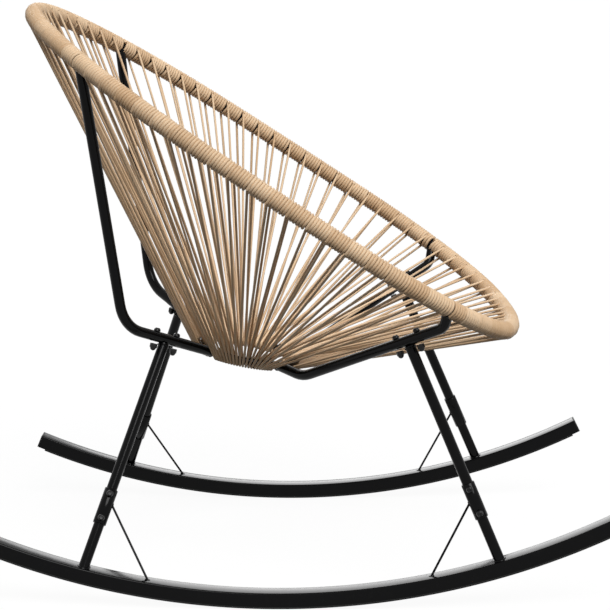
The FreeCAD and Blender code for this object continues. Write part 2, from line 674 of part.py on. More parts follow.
def stretch_cords(stretch, layer):
    """Cords of one layer in one stretch of the hoop."""
    begin, end, pairs_name, gaps = STRETCHES[stretch]
    above = LAYERS[layer]
    pairs = int(size(pairs_name))
    first_run, last_run = stretch_runs(stretch, size(gaps[0]), size(gaps[1]))
    stand_off = size("cord_diameter") / 2 + size("cord_clearance")
    hub_lift = size("hub_tube") / 2 + stand_off
    # A cord lies in the winding's own layer and starts where its inner flat clears the sleeve's corners
    tube_radius, cord_radius = size("hoop_tube") / 2, size("cord_diameter") / 2
    rim_lift = tube_radius + cord_radius
    inner_flat = rim_lift - cord_radius * math.cos(math.pi / size("cord_sides"))
    clear_run = math.sqrt((tube_radius + 2 * cord_radius) ** 2 - inner_flat ** 2)
    bare = (size("arm_tube") / 2 + stand_off) / size("hub_radius")
    first_turn = azimuth_of(arm_route(*begin)[0][-1]) + bare
    last_turn = azimuth_of(arm_route(*end)[0][-1]) - bare
    if last_turn < first_turn:
        last_turn += 2 * math.pi
    cords = []
    for index in range(pairs):
        share = index / (pairs - 1)
        rim, rim_tangent = on_hoop(first_run + share * (last_run - first_run) + above * size("pair_step"))
        ring, ring_tangent = on_hub(first_turn + share * (last_turn - first_turn))
        lifts = [tangent.cross(ring - rim).normalize() for tangent in (rim_tangent, ring_tangent)]
        lifts = [lift * (above if lift.dot(HOOP_UP) > 0 else -above) for lift in lifts]
        start, stop = rim + lifts[0] * rim_lift, ring + lifts[1] * hub_lift
        ahead = (stop - start).normalize()
        clear = clear_run / math.sin(ahead.getAngle(rim_tangent))
        cords.append(cord(start + ahead * clear, stop, lifts[0]))
    return Part.makeCompound(cords)


for stretch in STRETCHES:
    for layer in LAYERS:
        label = f"seat_cords_{layer}_{stretch}"
        piece(shape_object(label, stretch_cords(stretch, layer)), label)


doc.recompute()
faults = [obj.Name for obj in doc.Objects if {"Invalid", "Error"} & set(obj.State)]
faults += [obj.Label for obj in pieces if obj.Shape.isNull() or not obj.Shape.isValid()]
if faults:
    raise RuntimeError(f"these did not build: {faults}")
os.makedirs("parts", exist_ok=True)
for obj in pieces:
    obj.Shape.exportStep(f"parts/{obj.Label}.step")
print(len(pieces), "sub-parts,", sum(len(obj.Shape.Solids) for obj in pieces), "solids")
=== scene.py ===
"""Looks of a rocking chair whose egg-shaped seat is strung with plastic cord.

Each sub-assembly of the chair is a class that works out its lines in millimetres, in the same frame as the
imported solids, models its pieces and dresses them. X points where the sitter looks, Y to the sitter's left.
"""
from __future__ import annotations

import cmath
import logging
import math
import random
from dataclasses import dataclass, field
from enum import Enum
from typing import Any, Iterable, Mapping, Sequence

import bmesh
import bpy
from mathutils import Matrix, Quaternion, Vector

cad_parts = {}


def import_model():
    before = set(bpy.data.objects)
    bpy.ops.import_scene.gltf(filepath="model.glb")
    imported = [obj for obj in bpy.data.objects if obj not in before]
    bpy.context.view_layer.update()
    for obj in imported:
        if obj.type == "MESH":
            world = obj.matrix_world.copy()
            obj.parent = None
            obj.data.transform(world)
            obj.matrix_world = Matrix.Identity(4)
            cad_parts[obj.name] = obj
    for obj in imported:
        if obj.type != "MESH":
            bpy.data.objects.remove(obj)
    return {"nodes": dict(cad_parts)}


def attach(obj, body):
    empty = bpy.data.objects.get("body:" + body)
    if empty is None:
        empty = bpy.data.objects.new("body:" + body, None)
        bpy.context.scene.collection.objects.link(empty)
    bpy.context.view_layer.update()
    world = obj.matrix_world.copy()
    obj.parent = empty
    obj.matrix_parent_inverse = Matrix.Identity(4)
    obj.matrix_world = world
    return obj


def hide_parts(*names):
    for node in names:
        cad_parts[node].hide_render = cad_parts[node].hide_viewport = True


log = logging.getLogger("rocking_chair")

Triple = tuple[float, float, float]
Pairs = tuple[tuple[float, float], ...]
Edges = list[bmesh.types.BMEdge]
# Width, steps, and the least angle of an edge that is rounded, in degrees
Rounding = tuple[float, int, float]

MM = 0.001
UP = Vector((0.0, 0.0, 1.0))
LEFTWARD = Vector((0.0, 1.0, 0.0))
WHITE: Triple = (1.0, 1.0, 1.0)
BODY = "root"

# Points closer than this are one, and faces at less than this angle are shaded as one
MERGE_WITHIN = 1e-4
SMOOTH_UNDER = 40.0

# Along the hoop, from an arm to the next pair of seat cords
REAR_GAP = 29.4
FRONT_GAP = 16.0
FRONT_LEAD_GAP = 26.0

# Steps in a tube's bend: at least so many, and so many for each radian of half the bend
LEAST_BEND_STEPS = 4
BEND_STEPS = 16

# A weld bead: its reach and rise as shares of its width, its flats across and along, its ripples with their
# depth and scatter as shares, the flattest slant it is stretched for, and the slant of an upright tube
BEAD_REACH = 0.6
BEAD_RISE = 0.5
BEAD_FLATS = 8
BEAD_STEPS = 32
RIPPLES = 15
RIPPLE_DEPTH = 0.025
RIPPLE_SCATTER = 0.006
LEAST_SLANT = 0.4
SQUARE_SLANT = 0.999


class Slot(Enum):
    """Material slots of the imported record."""

    FRAME = "frame"
    CORD = "cord"
    PLASTIC = "plastic"
    FASTENER = "fastener"


class End(Enum):
    """Ends of the chair that an arm or a leg stands at."""

    REAR = "rear"
    FRONT = "front"


class Side(Enum):
    """Sides of the chair; the value is the sign of Y."""

    LEFT = 1
    RIGHT = -1

    @property
    def word(self) -> str:
        """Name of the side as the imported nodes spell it."""
        return self.name.lower()

    def mirror(self, offset: Triple) -> Vector:
        """Offset on this side that matches one on the left side."""
        return Vector((offset[0], self.value * offset[1], offset[2]))


Joint = tuple[End, Side]


class Stretch(Enum):
    """Stretches of the hoop between two arms: the arms, the gaps from them to the cords, and the pairs."""

    LEFT = ((End.REAR, Side.LEFT), (End.FRONT, Side.LEFT), REAR_GAP, FRONT_GAP, 20)
    FRONT = ((End.FRONT, Side.LEFT), (End.FRONT, Side.RIGHT), FRONT_LEAD_GAP, FRONT_LEAD_GAP, 21)
    RIGHT = ((End.FRONT, Side.RIGHT), (End.REAR, Side.RIGHT), FRONT_GAP, REAR_GAP, 20)
    BACK = ((End.REAR, Side.RIGHT), (End.REAR, Side.LEFT), REAR_GAP, REAR_GAP, 16)

    def __init__(self, begin: Joint, end: Joint, first_gap: float, last_gap: float, pairs: int) -> None:
        """Name the parts of the value."""
        self.begin = begin
        self.end = end
        self.first_gap = first_gap
        self.last_gap = last_gap
        self.pairs = pairs

    @property
    def word(self) -> str:
        """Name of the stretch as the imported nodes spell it."""
        return self.name.lower()


def per_end(rear: float, front: float) -> Any:
    """Dataclass field that holds a size for each end of the chair."""
    return field(default_factory=lambda: {End.REAR: rear, End.FRONT: front})


def srgb(red: int, green: int, blue: int) -> Triple:
    """Linear colour of three display values from 0 to 255."""
    return tuple(((level / 255 + 0.055) / 1.055) ** 2.4 if level > 10 else level / 255 / 12.92
                 for level in (red, green, blue))


def square_to(vector: Vector, axis: Vector) -> Vector:
    """Unit vector of the part of a vector that is square to an axis."""
    axis = axis.normalized()
    return (vector - axis * vector.dot(axis)).normalized()


def standing(foot: Vector, direction: Vector, facing: Vector) -> Matrix:
    """Place whose Z axis runs along a direction and whose X axis faces another.

    Args:
        foot: Origin of the place.
        direction: Where its Z axis points.
        facing: Where its X axis points, as nearly as it can.

    Returns:
        The place as a matrix.
    """
    rise = direction.normalized()
    ahead = square_to(facing, rise)
    columns = Matrix((ahead, rise.cross(ahead), rise)).transposed()
    return Matrix.Translation(foot) @ columns.to_4x4()


def add_object(name: str, data: bpy.types.ID) -> bpy.types.Object:
    """New object of the scene that shows some data."""
    made = bpy.data.objects.new(name, data)
    bpy.context.scene.collection.objects.link(made)
    return made


class Value:
    """A shader socket that takes part in Python arithmetic."""

    def __init__(self, bench: NodeBench, socket: bpy.types.NodeSocket) -> None:
        """Wrap an output socket of one bench."""
        self.bench = bench
        self.socket = socket

    def _math(self, operation: str, first: Value | float, second: Value | float) -> Value:
        """Result of one Math node with two operands."""
        node = self.bench.node("ShaderNodeMath", {"operation": operation}, {0: first, 1: second})
        return self.bench.out(node, "Value")

    def __add__(self, other: Value | float) -> Value:
        """Sum."""
        return self._math("ADD", self, other)

    __radd__ = __add__

    def __sub__(self, other: Value | float) -> Value:
        """Difference."""
        return self._math("SUBTRACT", self, other)

    def __rsub__(self, other: float) -> Value:
        """Difference from a number."""
        return self._math("SUBTRACT", other, self)

    def __mul__(self, other: Value | float) -> Value:
        """Product."""
        return self._math("MULTIPLY", self, other)

    __rmul__ = __mul__


class NodeBench:
    """Node tree of a material or a world, cleared and ready for new nodes."""

    def __init__(self, owner: bpy.types.Material | bpy.types.World) -> None:
        """Clear the owner's node tree."""
        owner.use_nodes = True
        self.tree = owner.node_tree
        self.tree.nodes.clear()

    def node(self, kind: str, settings: Mapping[str, Any],
             sockets: Mapping[int | str, Any]) -> bpy.types.Node:
        """Add a node.

        Args:
            kind: Type of the node.
            settings: Its properties; stops gives a ramp's positions and grey levels.
            sockets: A value, or a Value to link, for each named input.

        Returns:
            The node.
        """
        made = self.tree.nodes.new(kind)
        for name, setting in settings.items():
            if name == "stops":
                self._set_stops(made, setting)
            else:
                setattr(made, name, setting)
        for name, given in sockets.items():
            socket = made.inputs[name]
            if isinstance(given, Value):
                self.tree.links.new(given.socket, socket)
            elif socket.type == "RGBA":
                socket.default_value = (*given, 1.0)
            else:
                socket.default_value = given
        return made

    @staticmethod
    def _set_stops(ramp: bpy.types.Node, stops: Pairs) -> None:
        """Give a ramp's two stops their positions and grey levels."""
        for element, (place, level) in zip(ramp.color_ramp.elements, stops):
            element.position = place
            element.color = (level, level, level, 1.0)

    def out(self, node: bpy.types.Node, name: int | str) -> Value:
        """Output of a node, by its name or number."""
        return Value(self, node.outputs[name])

    def blend(self, share: Value, first: Triple, second: Triple) -> Value:
        """Colour between two colours, with a share of the second."""
        node = self.node("ShaderNodeMix", {"data_type": "RGBA"}, {0: share, 6: first, 7: second})
        return self.out(node, 2)

    def end(self, kind: str, shader: bpy.types.Node) -> None:
        """Join a shader to the tree's output node of one kind."""
        self.node(kind, {}, {"Surface": self.out(shader, 0)})


class Pattern(Enum):
    """Patterns of a layer: noise, small cells, or a tone for each separate length."""

    NOISE = "noise"
    CELLS = "cells"
    LENGTH = "length"


@dataclass(frozen=True)
class Layer:
    """A pattern over a surface: its shares in colour and gloss, and its relief's strength and depth."""

    pattern: Pattern
    scale: float = 0.0
    detail: float = 0.0
    stops: Pairs = ()
    tint: float = 0.0
    dulling: float = 0.0
    relief: tuple[float, ...] = ()

    def level(self, bench: NodeBench, place: Value) -> Value:
        """Level of the pattern, from 0 to 1.

        Args:
            bench: Where its nodes go.
            place: Coordinates that it reads.

        Returns:
            The level.
        """
        if self.pattern is Pattern.LENGTH:
            return bench.out(bench.node("ShaderNodeNewGeometry", {}, {}), "Random Per Island")
        sockets = {"Vector": place, "Scale": self.scale}
        if self.pattern is Pattern.CELLS:
            return bench.out(bench.node("ShaderNodeTexVoronoi", {}, sockets), "Distance")
        noise = bench.out(bench.node("ShaderNodeTexNoise", {}, {**sockets, "Detail": self.detail}), "Fac")
        if not self.stops:
            return noise
        return bench.out(bench.node("ShaderNodeValToRGB", {"stops": self.stops}, {"Fac": noise}), "Color")


@dataclass(frozen=True)
class Finish:
    """Layers that blend two colours and dull the gloss; one of them has a relief."""

    name: str
    colours: tuple[Triple, Triple]
    roughness: float
    specular: float
    layers: tuple[Layer, ...]
    tint: float = 0.0

    def make(self) -> bpy.types.Material:
        """Material of this finish.

        Returns:
            The material, which reads Object coordinates.
        """
        material = bpy.data.materials.new(self.name)
        bench = NodeBench(material)
        place = bench.out(bench.node("ShaderNodeTexCoord", {}, {}), "Object")
        sockets = {"Specular IOR Level": self.specular}
        tint, roughness = self.tint, self.roughness
        for layer in self.layers:
            level = layer.level(bench, place)
            if layer.tint:
                tint = level * layer.tint + tint
            if layer.dulling:
                roughness = level * layer.dulling + roughness
            if layer.relief:
                strength, depth = layer.relief
                bump = {"Strength": strength, "Distance": depth, "Height": level}
                sockets["Normal"] = bench.out(bench.node("ShaderNodeBump", {}, bump), "Normal")
        sockets |= {"Base Color": bench.blend(tint, *self.colours), "Roughness": roughness}
        bench.end("ShaderNodeOutputMaterial", bench.node("ShaderNodeBsdfPrincipled", {}, sockets))
        return material


# Semi-gloss stove enamel: faint orange peel, dust and a little drift in gloss
DRIFT = Layer(Pattern.NOISE, 9.0, 3.0, dulling=0.12)
DUST = Layer(Pattern.NOISE, 160.0, 6.0, ((0.55, 0.0), (0.8, 1.0)), tint=0.35, dulling=0.1)
PAINT = Finish(
    "black_enamel", (srgb(5, 5, 6), srgb(20, 20, 21)), roughness=0.08, specular=0.1,
    layers=(Layer(Pattern.NOISE, 420.0, 2.0, relief=(0.1, 0.00012)), DRIFT, DUST))
BOLT_BLACK = Finish(
    "blackened_bolts", (srgb(14, 14, 15), srgb(44, 43, 42)), roughness=0.24, specular=0.25,
    layers=(Layer(Pattern.NOISE, 900.0, 2.0, relief=(0.1, 0.00005)), DRIFT, DUST))
# Extruded cord: each length has its own tone, with fine grain and a soft sheen
TAN_CORD = Finish(
    "tan_cord", (srgb(225, 199, 167), srgb(184, 149, 111)), roughness=0.4, specular=0.2, tint=-0.1,
    layers=(Layer(Pattern.LENGTH, tint=0.5), Layer(Pattern.NOISE, 14.0, 3.0, tint=0.5),
            Layer(Pattern.NOISE, 900.0, 3.0, tint=0.16, dulling=0.12, relief=(0.2, 0.0002))))
# Moulded plastic with a spark-eroded grain and scuffs
FOOT_PLASTIC = Finish(
    "foot_plastic", (srgb(16, 16, 16), srgb(44, 43, 42)), roughness=0.5, specular=0.35,
    layers=(Layer(Pattern.CELLS, 1400.0, dulling=0.1, relief=(0.35, 0.0001)),
            Layer(Pattern.NOISE, 60.0, 8.0, ((0.58, 0.0), (0.72, 1.0)), tint=0.5, dulling=0.15)))


class Blank:
    """A mesh in the making, in millimetres."""

    def __init__(self) -> None:
        """Start with an empty mesh."""
        self.bm = bmesh.new()

    def ring(self, place: Matrix, radius: float, sides: int) -> Edges:
        """Edges of a new open circle in the XY plane of a place."""
        made = bmesh.ops.create_circle(self.bm, cap_ends=False, segments=sides, radius=radius, matrix=place)
        return list({edge for vert in made["verts"] for edge in vert.link_edges})

    def push(self, edges: Edges, step: Vector) -> Edges:
        """Draw an open end out along a straight line.

        Args:
            edges: Edges of the open end.
            step: How far it moves.

        Returns:
            Edges of the new end.
        """
        made = bmesh.ops.extrude_edge_only(self.bm, edges=edges)["geom"]
        verts = {item for item in made if isinstance(item, bmesh.types.BMVert)}
        bmesh.ops.translate(self.bm, verts=list(verts), vec=step)
        drawn = (item for item in made if isinstance(item, bmesh.types.BMEdge))
        return [edge for edge in drawn if verts.issuperset(edge.verts)]

    def turn(self, geom: Sequence[Any], centre: Vector, axis: Vector, angle: float, steps: int,
             merge: bool = False) -> Edges:
        """Draw points or edges round an axis, with a full turn merged; gives the edges at the turn's end."""
        made = bmesh.ops.spin(self.bm, geom=geom, cent=centre, axis=axis, dvec=Vector(), angle=angle,
                              steps=steps, use_merge=merge, use_duplicate=False)
        return [item for item in made["geom_last"] if isinstance(item, bmesh.types.BMEdge)]

    def close(self) -> Blank:
        """Merge doubles, fill open ends and turn all faces outwards."""
        bmesh.ops.remove_doubles(self.bm, verts=self.bm.verts, dist=MERGE_WITHIN)
        bmesh.ops.holes_fill(self.bm, edges=[edge for edge in self.bm.edges if edge.is_boundary], sides=0)
        return self.face_out()

    def face_out(self) -> Blank:
        """Turn all faces outwards."""
        bmesh.ops.recalc_face_normals(self.bm, faces=self.bm.faces)
        return self

    def round_corners(self, corners: Sequence[bmesh.types.BMVert], width: float, segments: int) -> None:
        """Round some corners of a sheet, over a width and in so many steps."""
        bmesh.ops.bevel(self.bm, geom=corners, offset=width, affect="VERTICES", segments=segments,
                        profile=0.5, material=-1)

    def soften(self, width: float, segments: int, sharper_than: float) -> Blank:
        """Round the sharp edges.

        Args:
            width: Width of the rounding.
            segments: Steps in it.
            sharper_than: Least angle between the faces at an edge that is rounded, in degrees.

        Returns:
            This blank.
        """
        limit = math.radians(sharper_than)
        edges = [edge for edge in self.bm.edges if edge.is_manifold and edge.calc_face_angle(0.0) > limit]
        bmesh.ops.bevel(self.bm, geom=edges, offset=width, affect="EDGES", segments=segments, profile=0.5,
                        material=-1, clamp_overlap=True)
        return self

    def move(self, place: Matrix) -> Blank:
        """Put the whole mesh at a place."""
        bmesh.ops.transform(self.bm, matrix=place, verts=self.bm.verts)
        return self


def bent_tube(points: Sequence[Vector], radii: Sequence[float], diameter: float, sides: int = 20) -> Blank:
    """Round tube through some corners, with a bend at each inner one.

    Args:
        points: Start, corners and end.
        radii: Bend radius at each corner.
        diameter: Outside diameter.
        sides: Number of flats round it.

    Returns:
        The closed tube.
    """
    blank = Blank()
    end = blank.ring(standing(points[0], points[1] - points[0], LEFTWARD), diameter / 2, sides)
    begin = points[0]
    for before, point, after, radius in zip(points, points[1:], points[2:], radii):
        back, ahead = (before - point).normalized(), (after - point).normalized()
        half = (math.pi - back.angle(ahead)) / 2
        reach = radius * math.tan(half)
        end = blank.push(end, point + back * reach - begin)
        centre = point + (back + ahead).normalized() * (radius / math.cos(half))
        steps = max(LEAST_BEND_STEPS, round(half * BEND_STEPS))
        end = blank.turn(end, centre, ahead.cross(back).normalized(), 2 * half, steps)
        begin = point + ahead * reach
    blank.push(end, points[-1] - begin)
    return blank.close()


def round_section(radius: float, width: float, height: float, sides: int) -> list[tuple[float, float]]:
    """Outline of a bar for the lathe, from its middle's radius, its half width and its half height."""
    angles = (math.tau * step / sides for step in range(sides))
    return [(radius + math.cos(angle) * width, math.sin(angle) * height) for angle in angles]


def lathed(profile: Sequence[tuple[float, float]], sides: int = 24, closed: bool = False) -> Blank:
    """Turned shape round Z.

    Args:
        profile: Radius and height of each point of its outline.
        sides: Number of flats round it.
        closed: Whether the outline's last point joins its first.

    Returns:
        The closed shape.
    """
    blank = Blank()
    verts = [blank.bm.verts.new((radius, 0.0, height)) for radius, height in profile]
    pairs = list(zip(verts, verts[1:])) + ([(verts[-1], verts[0])] if closed else [])
    edges = [blank.bm.edges.new(pair) for pair in pairs]
    blank.turn(verts + edges, Vector(), UP, math.tau, sides, merge=True)
    return blank.close()


class Weld(Enum):
    """Weld beads: the bead's width, and the seed of its ripples."""

    HOOP = (3.0, 3)
    RING = (2.6, 5)
    SADDLE = (2.4, 7)
    POST = (3.2, 11)
    STAY_FOOT = (2.2, 13)
    STAY_TOP = (1.8, 17)

    def __init__(self, width: float, seed: int) -> None:
        """Name the parts of the value."""
        self.width = width
        self.seed = seed

    def bead(self, foot: Vector, normal: Vector, lean: Vector, radius: float) -> Blank:
        """Rippled bead round a tube that stands on a surface.

        Args:
            foot: Where the tube's axis meets the surface.
            normal: The surface's normal.
            lean: Direction of the tube.
            radius: The tube's radius.

        Returns:
            The bead.
        """
        dice = random.Random(self.seed)
        section = round_section(radius, self.width * BEAD_REACH, self.width * BEAD_RISE, BEAD_FLATS)
        blank = lathed(section, BEAD_STEPS, closed=True)
        slant = abs(lean.normalized().dot(normal.normalized()))
        phase = dice.uniform(0.0, math.tau)
        for vert in blank.bm.verts:
            turn = math.atan2(vert.co.y, vert.co.x)
            ripple = RIPPLE_DEPTH * math.sin(RIPPLES * turn + phase)
            vert.co *= 1.0 + ripple + dice.uniform(-RIPPLE_SCATTER, RIPPLE_SCATTER)
            vert.co.x /= max(slant, LEAST_SLANT)
        facing = square_to(lean if slant < SQUARE_SLANT else LEFTWARD, normal)
        return blank.move(standing(foot, normal, facing))


class Wardrobe:
    """Materials of the chair, each made once."""

    def __init__(self) -> None:
        """Make the materials."""
        self.by_slot = {
            Slot.FRAME: PAINT.make(),
            Slot.CORD: TAN_CORD.make(),
            Slot.PLASTIC: FOOT_PLASTIC.make(),
            Slot.FASTENER: BOLT_BLACK.make(),
        }

    def dress(self, piece: bpy.types.Object, slot: Slot, nodes: Iterable[str]) -> None:
        """Give a piece its material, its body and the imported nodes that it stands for.

        Args:
            piece: The finished object.
            slot: Its material slot.
            nodes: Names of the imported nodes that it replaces.
        """
        piece.data.materials.clear()
        piece.data.materials.append(self.by_slot[slot])
        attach(piece, BODY)
        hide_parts(*nodes)
        log.info("%s: %d faces", piece.name, len(piece.data.polygons))

    def add(self, name: str, blanks: Iterable[Blank], slot: Slot, node: str,
            smooth_under: float = SMOOTH_UNDER) -> None:
        """Make one object of some blanks, in metres and at the origin, and dress it.

        Args:
            name: Name of the object.
            blanks: Its shapes.
            slot: Its material slot.
            node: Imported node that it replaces.
            smooth_under: Largest angle between two faces that are shaded as one, in degrees.
        """
        mesh = bpy.data.meshes.new(name)
        whole = bmesh.new()
        for blank in blanks:
            blank.bm.to_mesh(mesh)
            blank.bm.free()
            whole.from_mesh(mesh)
        bmesh.ops.scale(whole, vec=Vector((MM, MM, MM)), verts=whole.verts)
        for face in whole.faces:
            face.smooth = True
        for edge in whole.edges:
            edge.smooth = edge.is_manifold and edge.calc_face_angle(0.0) < math.radians(smooth_under)
        whole.to_mesh(mesh)
        whole.free()
        self.dress(add_object(name, mesh), slot, [node])


@dataclass(frozen=True)
class Station:
    """A place on a bent bar: its middle, and the way the bar runs there."""

    point: Vector
    tangent: Vector

    @property
    def above(self) -> Vector:
        """Direction up from a bar that runs along X."""
        return -LEFTWARD.cross(self.tangent)


@dataclass(frozen=True)
class RockerLine:
    """Curve of the runners, about an axis above the floor."""

    radius: float = 1136.0
    track: float = 587.0
    front_angle: float = 26.6
    rear_angle: float = 22.8
    cap_thickness: float = 2.5
    glide_thickness: float = 2.5
    runner_depth: float = 22.0

    def reach(self, angle: float) -> float:
        """How far an end cap stands from the lowest line."""
        return self.radius * math.sin(math.radians(angle) + self.cap_thickness / self.radius)

    @property
    def lowest_x(self) -> float:
        """Place of the runners' lowest line."""
        return (self.reach(self.rear_angle) - self.reach(self.front_angle)) / 2

    @property
    def axis_point(self) -> Vector:
        """A point of the axis."""
        return Vector((self.lowest_x, 0.0, self.radius))

    def on_top(self, x: float, side: Side) -> Station:
        """Middle of a runner's top, and the way the runner runs there.

        Args:
            x: Distance ahead of the lowest line.
            side: Side of the chair.

        Returns:
            The station.
        """
        radius = self.radius - self.glide_thickness - self.runner_depth
        rise = math.sqrt(radius ** 2 - x ** 2)
        point = Vector((self.lowest_x + x, side.value * self.track / 2, self.radius - rise))
        return Station(point, Vector((rise, 0.0, x)).normalized())


@dataclass
class HoopLine:
    """Middle line of the seat's hoop: tangent arcs in one sloping plane, walked from the back to the left.

    A point of the plane is a complex number: its reach to the back, and its place across. A turn is a radius
    and a sweep in degrees. An arc is the length at which it begins, its centre, radius and two angles.
    """

    lowest_x: float
    tilt: float = math.radians(33.2)
    mid_height: float = 612.7
    back_reach: float = 447.7
    turns: Pairs = ((293.0, 32.6), (400.0, 51.6), (2040.0, 7.5), (267.0, 74.5))

    def __post_init__(self) -> None:
        """Lay out the arcs of half the loop, close it at the front and mirror it."""
        self.back = Vector((-math.cos(self.tilt), 0.0, math.sin(self.tilt)))
        self.up = Vector((math.sin(self.tilt), 0.0, math.cos(self.tilt)))
        spot, angle, half = complex(self.back_reach), 0.0, []
        for radius, sweep in self.turns:
            centre, last = spot - cmath.rect(radius, angle), angle + math.radians(sweep)
            half.append((centre, radius, angle, last))
            spot, angle = centre + cmath.rect(radius, last), last
        radius = spot.imag / math.sin(math.pi - angle)
        half.append((complex(spot.real - radius * math.cos(angle)), radius, angle, math.pi))
        mirrored = [(centre.conjugate(), radius, math.tau - last, math.tau - first)
                    for centre, radius, first, last in reversed(half)]
        self.arcs, self.length = [], 0.0
        for centre, radius, first, last in half + mirrored:
            self.arcs.append((self.length, centre, radius, first, last))
            self.length += radius * (last - first)

    def in_plane(self, spot: complex) -> Vector:
        """Point of the hoop's plane in space."""
        return Vector((self.lowest_x, spot.imag, self.mid_height)) + self.back * spot.real

    def at(self, run: float) -> Station:
        """Station at a length along the hoop.

        Args:
            run: The length from the hoop's back, which may pass the whole loop.

        Returns:
            The station.
        """
        run %= self.length
        begin, centre, radius, first, _ = [arc for arc in self.arcs if arc[0] <= run + 1e-9][-1]
        angle = first + (run - begin) / radius
        tangent = self.back * -math.sin(angle) + LEFTWARD * math.cos(angle)
        return Station(self.in_plane(centre + cmath.rect(radius, angle)), tangent)


@dataclass
class RingLine:
    """Middle line of the ring at the seat's bottom; its azimuths run from its back to its left."""

    lowest_x: float
    radius: float = 78.0
    behind: float = 53.0
    height: float = 323.0
    tilt: float = math.radians(11.0)

    def __post_init__(self) -> None:
        """Work out the ring's centre and slope."""
        self.centre = Vector((self.lowest_x - self.behind, 0.0, self.height))
        self.slope = Matrix.Rotation(self.tilt, 4, "Y")

    def at(self, azimuth: float) -> Station:
        """Station at an azimuth."""
        outward = self.slope @ Vector((-math.cos(azimuth), math.sin(azimuth), 0.0))
        tangent = self.slope @ Vector((math.sin(azimuth), math.cos(azimuth), 0.0))
        return Station(self.centre + outward * self.radius, tangent)

    def azimuth_of(self, point: Vector) -> float:
        """Azimuth at which a point is seen from the ring's centre."""
        away = point - self.centre
        return math.atan2(away.y, -away.x)


@dataclass
class Skeleton:
    """Lines and sizes that the sub-assemblies share.

    The rear arm's bend is given ahead of its weld, inward of it and above the ring, and the front arm's bends
    from its weld and from the ring's centre.
    """

    rocker: RockerLine = field(default_factory=RockerLine)
    welds: Mapping[End, float] = per_end(275.6, 940.0)
    hoop_tube: float = 18.2
    arm_tube: float = 16.0
    cord: float = 4.5
    rear_bend: Triple = (50.1, 50.5, 75.0)
    front_bends: tuple[Triple, Triple] = ((-5.4, -16.1, -30.9), (90.5, 110.0, -17.0))
    sharp_radius: float = 26.0
    bend_radius: float = 60.0

    def __post_init__(self) -> None:
        """Lay out hoop and ring."""
        self.hoop = HoopLine(self.rocker.lowest_x)
        self.ring = RingLine(self.rocker.lowest_x)

    def weld_run(self, end: End, side: Side) -> float:
        """Length along the hoop at which an arm is welded to it."""
        return self.welds[end] if side is Side.LEFT else self.hoop.length - self.welds[end]

    def arm_route(self, end: End, side: Side) -> tuple[list[Vector], list[float]]:
        """Corners and bend radii of an arm, from the hoop to the ring.

        Args:
            end: End of the chair.
            side: Side of the chair.

        Returns:
            Points from the weld to the ring's middle line, and the bend radius at each inner one.
        """
        weld = self.hoop.at(self.weld_run(end, side)).point
        if end is End.REAR:
            ahead, inward, above = self.rear_bend
            inner = [Vector((weld.x + ahead, weld.y - side.value * inward, self.ring.height + above))]
            radii = [self.bend_radius]
        else:
            first, last = (side.mirror(bend) for bend in self.front_bends)
            inner = [weld + first, self.ring.centre + last]
            radii = [self.sharp_radius, self.bend_radius]
        return [weld, *inner, self.ring.at(self.ring.azimuth_of(inner[-1])).point], radii


class CordStock:
    """Lengths of round cord on smooth splines, made one mesh."""

    def __init__(self, name: str, diameter: float) -> None:
        """Start a bundle of cords of one diameter, in millimetres."""
        self.curve = bpy.data.curves.new(name, "CURVE")
        self.curve.dimensions = "3D"
        self.curve.bevel_depth = diameter / 2 * MM
        self.curve.bevel_resolution = 1
        self.curve.use_fill_caps = True
        self.curve.resolution_u = 1

    def lay(self, route: Sequence[Vector], resolution: int) -> None:
        """Lay one cord on a spline.

        Args:
            route: Its control points, in millimetres.
            resolution: Steps between two control points.
        """
        spline = self.curve.splines.new("NURBS")
        spline.points.add(len(route) - 1)
        for knot, spot in zip(spline.points, route):
            knot.co = (*(spot * MM), 1.0)
        spline.order_u = 3
        spline.use_endpoint_u = True
        spline.resolution_u = resolution

    def finish(self) -> bpy.types.Object:
        """Turn the bundle into a mesh object.

        Returns:
            The object.
        """
        name = self.curve.name
        held = add_object(name, self.curve)
        graph = bpy.context.evaluated_depsgraph_get()
        mesh = bpy.data.meshes.new_from_object(held.evaluated_get(graph))
        bpy.data.objects.remove(held)
        bpy.data.curves.remove(self.curve)
        mesh.name = name
        mesh.shade_smooth()
        return add_object(name, mesh)


@dataclass
class Seat:
    """Hoop and ring, with the panels between the arms."""

    lines: Skeleton
    wardrobe: Wardrobe
    hoop_sides: int = 20
    hoop_step: float = 22.0
    least_steps: int = 3
    ring_rod: float = 12.0
    ring_sides: int = 16
    ring_steps: int = 72

    def build(self) -> None:
        """Make every piece of the seat."""
        self.build_hoop()
        self.build_ring()
        for stretch in Stretch:
            Panel(self.lines, self.wardrobe, stretch, self.ring_rod).build()

    def build_hoop(self) -> None:
        """Bend the hoop's tube arc by arc."""
        blank = Blank()
        hoop = self.lines.hoop
        start = hoop.at(0.0)
        place = standing(start.point, start.tangent, hoop.up)
        end = blank.ring(place, self.lines.hoop_tube / 2, self.hoop_sides)
        for _, centre, radius, first, last in hoop.arcs:
            steps = max(self.least_steps, round(radius * (last - first) / self.hoop_step))
            end = blank.turn(end, hoop.in_plane(centre), -hoop.up, last - first, steps)
        self.wardrobe.add("hoop_tube", [blank.close()], Slot.FRAME, "rim_hoop")

    def build_ring(self) -> None:
        """Turn the ring's rod round its axis."""
        ring = self.lines.ring
        section = round_section(ring.radius, self.ring_rod / 2, self.ring_rod / 2, self.ring_sides)
        blank = lathed(section, self.ring_steps, closed=True)
        blank.move(Matrix.Translation(ring.centre) @ ring.slope)
        self.wardrobe.add("seat_ring", [blank], Slot.FRAME, "hub_ring")


